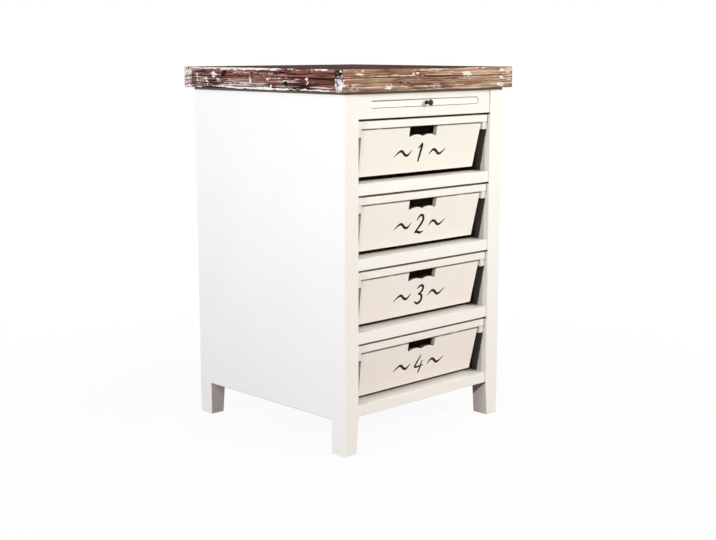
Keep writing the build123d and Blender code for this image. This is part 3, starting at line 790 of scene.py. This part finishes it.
# Marks on the boards, in mm: along, up, half length and half height, then a strength where it is under 1.
# They are counted on the outer face, which goes on over the top and round the ends, as if the board were
# unfolded. The front and left boards are as seen, and the rear and right ones are their mirror images.
worktopLook = {
    "cell": (0.0025, 0.0025, 0.0011),
    "plankCell": (0.004, 0.004, 0.003),
    "arris": 0.0016,
    "arrisScale": (28.0, 60.0, 60.0),   # noise scales along, across and up
    "arrisLeast": 0.35,
    "arrisReach": 0.0035,
    "chip": 0.0022,
    "chipScale": (55.0, 90.0, 90.0),
    "chipLimits": (0.58, 0.72),
    "relief": 0.0005,
    "reliefScale": (4.0, 95.0, 95.0),
    "plankPaint": 0.12,
    "whiteMark": 0.7,        # paint that a white mark adds
    "markFade": 1.5,         # marks end at this share of their size
    "noKnot": 3.0,           # distance from the next knot where there is none
    "tearAlong": 4.0,        # mm by which a mark is torn along and up the board
    "tearUp": 2.0,
    "tearLength": 14.0,      # mm from one tear to the next
    "tearHeight": 5.0,
    "tearOctaves": 3,
    "tearSeed": 6,
    "seedStep": (1.37, 0.61, 0.23),   # how far a seed moves the pattern of a board
    "seeds": {"front": 3.0, "left": 7.0, "right": 11.0, "rear": 13.0,
              "plank_1": 17.0, "plank_2": 19.0, "plank_3": 23.0},
    "apronSeed": 26.0,       # added for the apron board of the same side
    "front": {
        "paint": 0.12,
        "white": [(-217, 789, 11, 3), (-229, 795, 2.5, 2), (-209, 796, 3, 2), (-62, 788, 6, 2),
                  (-46, 789, 4.5, 3), (98, 787, 7, 4), (107, 789, 9, 3), (113, 785, 7, 4, 0.85),
                  (154, 800, 72, 1.2), (223, 793, 9, 2.2), (246, 789, 14, 1), (240, 785, 18, 1.3),
                  (223, 777, 9, 2.4), (247, 771, 14, 1.2), (-133, 761, 11, 3.5), (-140, 768, 2, 1.5),
                  (-127, 769, 4, 1), (218, 761, 14, 3.5), (-269, 795, 4, 2), (-275, 786, 3, 2.5),
                  (-265, 787, 2.5, 3), (-274, 768, 15, 13)],
        "worn": [(-90, 785.5, 170, 1.3), (-20, 796, 100, 1.1), (-49, 779, 8, 1.5), (-227, 768, 12, 1.3),
                 (-227, 758, 12, 1.3), (-238, 763, 2, 4), (60, 770, 9, 3, 0.5), (120, 776, 60, 1),
                 (248, 780, 14, 18, 0.55), (-60, 757, 90, 1), (20, 763.5, 240, 1.5, 0.85),
                 (30, 775, 120, 2, 0.5), (-30, 769, 70, 1, 0.6)],
        "stain": [(-118, 771, 98, 0.8), (-60, 783, 200, 0.6), (-276, 791, 13, 10), (-240, 770, 9, 3, 0.7)],
        "knots": [(8, 761, 14, 9), (163, 761, 11, 7), (-232, 762, 18, 7)],
    },
    "left": {
        "paint": 0.1,
        "white": [(68, 798, 192, 3.2), (-192, 798, 23, 1.5), (90, 760, 72, 6, 0.7),
                  (212, 774, 4, 10, 0.72), (214, 782, 7, 3.5, 0.75), (180, 773, 10, 3.5, 0.72),
                  (176, 764, 3.5, 6, 0.72), (152, 783, 8, 7, 0.66), (139, 773, 8, 5, 0.66),
                  (200, 758, 30, 2.5, 0.7), (-150, 757, 80, 2, 0.8), (133, 759, 6, 2), (28, 775, 3, 6),
                  (29, 768, 4, 3), (-28, 776, 5, 1.5), (-38, 764, 4, 3), (-68, 779, 50, 0.9),
                  (-151, 780, 4.5, 4), (-152, 770, 3, 6), (-145, 759, 2.5, 3), (-20, 757, 122, 3, 0.95),
                  (85, 765, 60, 3, 0.6), (-95, 774, 24, 1.2, 0.8), (-200, 756, 30, 1.2, 0.8)],
        "worn": [(85, 760, 80, 7), (87, 772, 22, 0.9), (-95, 772, 28, 1.6), (60, 790, 40, 0.8),
                 (-200, 762, 25, 1.5), (190, 777, 25, 1, 0.6), (-110, 764, 110, 3.5, 0.75),
                 (20, 766, 70, 2.5, 0.7), (205, 768, 35, 7, 0.62), (-120, 775, 22, 5, 0.5)],
        "stain": [(20, 790, 220, 5, 0.42), (200, 790, 30, 1.6), (117, 788, 6.5, 9), (123, 784, 4, 6),
                  (-64, 790, 30, 2), (-84, 771, 6, 6), (-88, 766, 5, 5), (40, 780, 60, 0.8)],
        "knots": [],
    },
    "end": {                 # of the rear board, at the left
        "white": [(-262, 791, 3, 9), (-272, 799, 14, 2), (-276, 789, 16, 8, 0.85), (-274, 775, 15, 3),
                  (-274, 757, 15, 3), (-268, 766, 12, 5, 0.7)],
        "worn": [],
        "stain": [(-278, 771, 10, 1.5), (-276, 763, 12, 1.5)],
    },
}


# Board with worn arrises, broken corners and raised grain; never larger than its size
def wornBoardTree():
    inputs = {"Size": "Vector", "Cell": "Vector", "Arris": "Float", "Chip": "Float", "Relief": "Float",
              "Arris Reach": "Float", "Grain Along Y": "Float", "Seed": "Float", "Material": "Material",
              "Centre": "Vector"}
    tree, bench, given = newShapeTree("wornBoard", inputs)
    size = given["Size"]
    count = bench.vector("DIVIDE", size, given["Cell"])
    counts = [bench.math("ROUND", bench.larger(c, 1.0)) + 1.0 for c in bench.split(count)]
    sockets = {"Size": size, "Vertices X": counts[0], "Vertices Y": counts[1], "Vertices Z": counts[2]}
    cube = bench.add("GeometryNodeMeshCube", None, sockets)
    place = bench.add("GeometryNodeInputPosition")
    x, y, z = bench.split(place)
    turn = given["Grain Along Y"]
    along = x + (y - x) * turn
    across = y + (x - y) * turn
    moved = bench.scaled(bench.join(*worktopLook["seedStep"]), given["Seed"])
    seeded = bench.vector("ADD", bench.join(along, across, z), moved)

    # How near the point is to an arris: the middle one of its distances from the three pairs of faces
    half = bench.scaled(size, 0.5)
    dx, dy, dz = bench.split(bench.vector("SUBTRACT", half, bench.vector("ABSOLUTE", place)))
    middle = bench.larger(bench.smaller(dx, dy), bench.smaller(bench.larger(dx, dy), dz))
    arris = 1 - bench.smaller(middle / given["Arris Reach"], 1.0)

    # Rounding that changes along the board, with chips bitten out here and there
    waver = bench.noise(seeded, worktopLook["arrisScale"])
    bite = bench.step(bench.noise(seeded, worktopLook["chipScale"]), *worktopLook["chipLimits"])
    radius = given["Arris"] * (waver + worktopLook["arrisLeast"]) + given["Chip"] * bite
    inner = bench.vector("SUBTRACT", half, bench.join(radius, radius, radius))
    core = bench.vector("MAXIMUM", bench.vector("MINIMUM", place, inner), bench.scaled(inner, -1.0))
    outward = bench.vector("NORMALIZE", bench.vector("SUBTRACT", place, core))
    grain = bench.noise(seeded, worktopLook["reliefScale"], detail=3.0, roughness=0.6)
    worn = bench.vector("ADD", core, bench.scaled(outward, radius - given["Relief"] * grain))

    stored = cube
    for attribute, kind, value in (("boardPlace", "FLOAT_VECTOR", seeded), ("arris", "FLOAT", arris)):
        stored = bench.add("GeometryNodeStoreNamedAttribute", {"data_type": kind, "domain": "POINT"},
                           {"Geometry": stored, "Name": attribute, "Value": value})
    position = bench.vector("ADD", worn, given["Centre"])
    board = bench.add("GeometryNodeSetPosition", None, {"Geometry": stored, "Position": position})
    smooth = bench.add("GeometryNodeSetShadeSmooth", None, {"Geometry": board})
    endShapeTree(bench, smooth, given["Material"])
    return tree


wornBoard = wornBoardTree()
noise.seed_set(worktopLook["tearSeed"])


# Marks of a side's boards, mirrored for the sides that the photograph doesn't show
def boardMarks(side):
    if side in ("front", "left"):
        return worktopLook[side]
    seen = worktopLook["front" if side == "rear" else "left"]
    marks = {kind: [(-m[0], *m[1:]) for m in seen[kind]] for kind in ("white", "worn", "stain", "knots")}
    marks["paint"] = seen["paint"]
    if side == "rear":       # its left end shows, so that has marks of its own
        for kind, ends in worktopLook["end"].items():
            marks[kind] = marks[kind] + ends
    return marks


# How strongly each point lies in one of the marks, 0 to 1
def markField(along, up, marks):
    field = np.zeros(len(along))
    for markAlong, markUp, halfLength, halfHeight, *strength in marks:
        reach = np.hypot((along - markAlong) / halfLength, (up - markUp) / halfHeight)
        inMark = np.clip(worktopLook["markFade"] - reach, 0.0, 1.0) * (strength[0] if strength else 1.0)
        field = np.maximum(field, inMark)
    return field


# Writes the paint, rubbed places and stains, and how far the next knot is, for every point of a board
def wearBoard(piece, low, high, grainAlongY, outward, seed, marks):
    look = worktopLook
    count = len(piece.data.vertices)
    flat = np.zeros(count * 3, np.float32)
    piece.data.attributes["boardPlace"].data.foreach_get("vector", flat)
    local = (flat.reshape(-1, 3).astype(float) - np.array(look["seedStep"]) * seed) * millimetres
    order = [1, 0, 2] if grainAlongY else [0, 1, 2]
    size = np.array(high - low)[order] * millimetres
    middle = np.array((low + high) / 2)[order] * millimetres
    inward = size[1] / 2 - local[:, 1] * outward
    along = local[:, 0] + middle[0]
    up = local[:, 2] + middle[2]

    # Unfolded: over the top and under the bottom, then round the ends
    hair = 0.01              # mm
    level = np.abs(local[:, 2]) > size[2] / 2 - hair
    atEnd = (np.abs(local[:, 0]) > size[0] / 2 - hair) & ~level
    up = np.where(level, up + np.sign(local[:, 2]) * inward, up)
    along = np.where(atEnd, along + np.sign(local[:, 0]) * inward, along)

    # Marks are torn a little along and across the grain
    for point in range(count):
        spot = Vector((along[point] / look["tearLength"], up[point] / look["tearHeight"], seed))
        tear = noise.turbulence_vector(spot, look["tearOctaves"], False)
        along[point] += look["tearAlong"] * tear.x
        up[point] += look["tearUp"] * tear.y
    wear = np.zeros((count, 3))
    wear[:, 0] = marks["paint"] + look["whiteMark"] * markField(along, up, marks["white"])
    wear[:, 1] = markField(along, up, marks["worn"])
    wear[:, 2] = markField(along, up, marks["stain"])
    nearest = np.full(count, look["noKnot"])
    for knotAlong, knotUp, halfLength, halfHeight in marks["knots"]:
        nearest = np.minimum(nearest, np.hypot((along - knotAlong) / halfLength, (up - knotUp) / halfHeight))
    attribute = piece.data.attributes.new("wear", "FLOAT_VECTOR", "POINT")
    attribute.data.foreach_set("vector", wear.astype(np.float32).ravel())
    attribute = piece.data.attributes.new("knot", "FLOAT", "POINT")
    attribute.data.foreach_set("value", nearest.astype(np.float32))


def makeBoard(name, low, high, cell, wood, seed, outward, marks):
    size = high - low
    grainAlongY = size.y > size.x
    values = {"Size": size, "Cell": cell, "Arris": worktopLook["arris"], "Chip": worktopLook["chip"],
              "Relief": worktopLook["relief"], "Arris Reach": worktopLook["arrisReach"],
              "Grain Along Y": 1.0 if grainAlongY else 0.0, "Seed": seed,
              "Material": agedWoods[wood], "Centre": (low + high) / 2}
    piece = growPiece(name, wornBoard, values)
    wearBoard(piece, low, high, grainAlongY, outward, seed, marks)
    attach(piece, "cabinet")
    return piece


# An edge board on every side, with its apron board under it
apronLow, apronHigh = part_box("worktop_apron")
for side in ("front", "left", "right", "rear"):
    low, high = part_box(f"worktop_{side}_edge")
    wood = "front" if side in ("front", "rear") else "side"
    outward = -1.0 if side in ("front", "left") else 1.0
    seed, marks, cell = worktopLook["seeds"][side], boardMarks(side), worktopLook["cell"]
    edgeBoard = makeBoard(f"worktop_{side}_worn", low, high, cell, wood, seed, outward, marks)
    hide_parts(f"worktop_{side}_edge")
    low.z, high.z = apronLow.z, apronHigh.z
    seed += worktopLook["apronSeed"]
    apronBoard = makeBoard(f"worktop_apron_{side}_worn", low, high, cell, wood, seed, outward, marks)
    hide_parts("worktop_apron")

# Planks between them
plankMarks = {"paint": worktopLook["plankPaint"], "white": [], "worn": [], "stain": [], "knots": []}
for plank in ("plank_1", "plank_2", "plank_3"):
    low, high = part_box("worktop_" + plank)
    seed, cell = worktopLook["seeds"][plank], worktopLook["plankCell"]
    plankBoard = makeBoard(f"worktop_{plank}_worn", low, high, cell, "side", seed,
                           outward=1.0, marks=plankMarks)
    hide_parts("worktop_" + plank)
print("worktop boards worn")


# Ribbon of paint along a stroke, as wide as the stroke's own radius
def brushStrokeTree():
    inputs = {"Geometry": "Geometry", "Step": "Float", "Material": "Material"}
    tree, bench, given = newShapeTree("brushStroke", inputs)
    steps = bench.add("GeometryNodeResampleCurve", {"mode": "LENGTH"},
                      {"Curve": given["Geometry"], "Length": given["Step"]})
    sides = numeralLook["ribbonSides"]
    ring = bench.add("GeometryNodeCurvePrimitiveCircle", None, {"Resolution": sides, "Radius": 1.0})
    flatness = (1.0, numeralLook["thickness"], 1.0)
    flat = bench.add("GeometryNodeTransform", None, {"Geometry": ring, "Scale": flatness})
    radius = bench.add("GeometryNodeInputRadius")
    ribbon = bench.add("GeometryNodeCurveToMesh", None,
                       {"Curve": steps, "Profile Curve": flat, "Scale": radius, "Fill Caps": True})
    smooth = bench.add("GeometryNodeSetShadeSmooth", None, {"Geometry": ribbon})
    endShapeTree(bench, smooth, given["Material"])
    return tree


# Plain numerals between two dashes, drawn with a round brush: (right, up, half width), in mm
numeralLook = {
    "drop": 0.058,           # middle of the numeral under the top of the drawer front
    "strokes": {
        1: [[(-8, 10, 0.8), (-1, 15, 1.8), (4, 21, 2.3), (1, 6, 2.7), (-4, -20, 1.8)]],
        2: [[(-10, 9, 1.0), (-6, 20, 2.0), (7, 21, 2.3), (10, 9, 2.7), (0, -5, 2.3), (-13, -18, 1.4)],
            [(-13, -18, 1.4), (-5, -15, 2.4), (4, -21, 2.3), (14, -16, 0.8)]],
        3: [[(-9, 15, 1.0), (-2, 22, 2.0), (10, 20, 2.4), (9, 6, 2.4), (-4, 2, 1.2)],
            [(-4, 2, 1.2), (9, 1, 2.3), (9, -16, 2.7), (-5, -22, 2.1), (-13, -14, 1.0)]],
        4: [[(4, 21, 1.0), (-3, 9, 2.0), (-14, -6, 1.9), (-5, -7, 1.8), (15, -5, 0.8)],
            [(10, 7, 1.0), (7, -5, 2.5), (2, -22, 1.4)]],
    },
    "dash": [(28, -6, 0.6), (36, 5, 1.9), (47, 4, 2.4), (57, -7, 2.3), (68, -4, 1.6), (80, 6, 0.5)],
    "step": 0.0012,
    "weight": 1.35,          # times the half widths above
    "thickness": 0.12,       # share of the width
    "ribbonSides": 10,
}
brushStroke = brushStrokeTree()


def makeNumeral(number):
    nodeName = f"drawer_{number}_front"
    curve = bpy.data.curves.new(f"numeral{number}", "CURVE")
    curve.dimensions = "3D"
    curve.twist_mode = "Z_UP"
    dashes = [numeralLook["dash"], [(-u, -v, r) for u, v, r in reversed(numeralLook["dash"])]]
    for stroke in numeralLook["strokes"][number] + dashes:
        spline = curve.splines.new("NURBS")
        spline.points.add(len(stroke) - 1)
        for point, (right, up, half) in zip(spline.points, stroke):
            point.co = (right / millimetres, up / millimetres, 0.0, 1.0)
            point.radius = half * numeralLook["weight"] / millimetres
        spline.order_u = 3
        spline.use_endpoint_u = True
    values = {"Step": numeralLook["step"], "Material": smallFinishes["numeralPaint"]}
    piece = growPiece(f"drawer_{number}_numeral", brushStroke, values, curve)

    # From the flat drawing to the leaning front
    point, normal = frontPlane(nodeName)
    right = Vector((1.0, 0.0, 0.0))
    up = normal.cross(right)
    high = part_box(nodeName)[1]
    middle = point + up * ((high.z - numeralLook["drop"] - point.z) / up.z)
    middle.x = 0.0
    turn = Matrix((right, up, normal)).transposed().to_4x4()
    piece.data.transform(Matrix.Translation(middle) @ turn)
    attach(piece, f"drawer_{number}")


for number in drawerNumbers:
    makeNumeral(number)
print("numerals painted")

# Camera of the photograph
photoCamera = {
    "lens": 64.18,
    "sensor": 36.0,
    "place": (-1.99845, -2.08835, 0.84372),
    "yaw": 44.18,            # degrees from +Y towards +X
    "pitch": 9.93,           # degrees down
}
cameraData = bpy.data.cameras.new("photoCamera")
cameraData.sensor_width = photoCamera["sensor"]
cameraData.lens = photoCamera["lens"]
camera = bpy.data.objects.new("photoCamera", cameraData)
scene.collection.objects.link(camera)
yaw, pitch = math.radians(photoCamera["yaw"]), math.radians(photoCamera["pitch"])
forward = Vector((math.sin(yaw) * math.cos(pitch), math.cos(yaw) * math.cos(pitch), -math.sin(pitch)))
camera.location = photoCamera["place"]
camera.rotation_mode = "QUATERNION"
camera.rotation_quaternion = forward.to_track_quat("-Z", "Y")
scene.camera = camera

# Four soft boxes, a pale floor and a white surround
studioLook = {
    "ambient": 0.09,
    "floorColour": (0.9, 0.9, 0.9),
    "floorBounce": (0.5, 0.5, 0.5),   # the colour that the object gets back from the floor
    "floorWhite": (0.93, 1.0),   # share of plain white that the camera sees, near the object and far off
    "floorFade": (0.3, 1.4),     # distances between which it rises
    "floorRoughness": 0.9,
    "floorSize": 30.0,
    "lamps": {               # place, width and height, watts and colour
        "keyBox": ((-2.27, -2.35, 1.94), (1.0, 1.0), 34.0, (1.0, 0.985, 0.95)),
        "frontBox": ((2.0, -3.8, 2.0), (1.8, 1.6), 142.0, (1.0, 0.975, 0.915)),
        "sideBox": ((-4.0, -0.2, 1.5), (1.6, 1.6), 111.0, (0.905, 0.95, 1.03)),
        "rearBox": ((3.2, 3.4, 1.5), (1.8, 1.4), 115.0, (1.0, 0.985, 0.955)),
    },
    "target": (0.0, 0.0, 0.42),
}


def shownToCamera(bench):  # 1 for what the camera sees, directly or in a gloss or through glass
    path = bench.add("ShaderNodeLightPath")
    beyond = bench.larger(path["Is Glossy Ray"], path["Is Transmission Ray"])
    return bench.larger(path["Is Camera Ray"], beyond)


def makeStudio():
    world = bpy.data.worlds.new("studio")
    scene.world = world
    world.use_nodes = True
    bench = Bench(world.node_tree)
    background = world.node_tree.nodes["Background"]
    background.inputs["Color"].default_value = (1.0, 1.0, 1.0, 1.0)
    ambient = studioLook["ambient"]
    bench.feed(background.inputs["Strength"], shownToCamera(bench) * (1.0 - ambient) + ambient)

    for name, (place, size, watts, lampColour) in studioLook["lamps"].items():
        data = bpy.data.lights.new(name, "AREA")
        data.shape = "RECTANGLE"
        data.size, data.size_y = size
        data.energy = watts
        data.color = lampColour
        box = bpy.data.objects.new(name, data)
        scene.collection.objects.link(box)
        box.location = place
        toTarget = Vector(studioLook["target"]) - Vector(place)
        box.rotation_euler = toTarget.to_track_quat("-Z", "Y").to_euler()
        box.visible_camera = False
        box.visible_glossy = name != "rearBox"   # it would only glare on the worktop

    half = studioLook["floorSize"] / 2
    mesh = bpy.data.meshes.new("floor")
    corners = [(-half, -half, 0.0), (half, -half, 0.0), (half, half, 0.0), (-half, half, 0.0)]
    mesh.from_pydata(corners, [], [(0, 1, 2, 3)])
    floor = bpy.data.objects.new("floor", mesh)
    scene.collection.objects.link(floor)
    material, bench, shader = newFinish("paleFloor")
    shown = shownToCamera(bench)
    colour = bench.blend(studioLook["floorBounce"], studioLook["floorColour"], shown)
    bench.feed(shader.inputs["Base Color"], colour)
    shader.inputs["Roughness"].default_value = studioLook["floorRoughness"]
    white = bench.add("ShaderNodeEmission", None, {"Color": (1.0, 1.0, 1.0, 1.0), "Strength": 1.0})
    place = bench.place()
    distance = bench.add("ShaderNodeVectorMath", {"operation": "LENGTH"}, {0: place})
    near, far = studioLook["floorWhite"]
    share = bench.step(distance, *studioLook["floorFade"]) * (far - near) + near
    mix = bench.add("ShaderNodeMixShader", None,
                    {0: shown * share, 1: Wire(bench, shader.outputs["BSDF"]), 2: white})
    bench.feed(material.node_tree.nodes["Material Output"].inputs["Surface"], mix)
    mesh.materials.append(material)


makeStudio()
scene.view_settings.view_transform = "Standard"
print("studio set up")
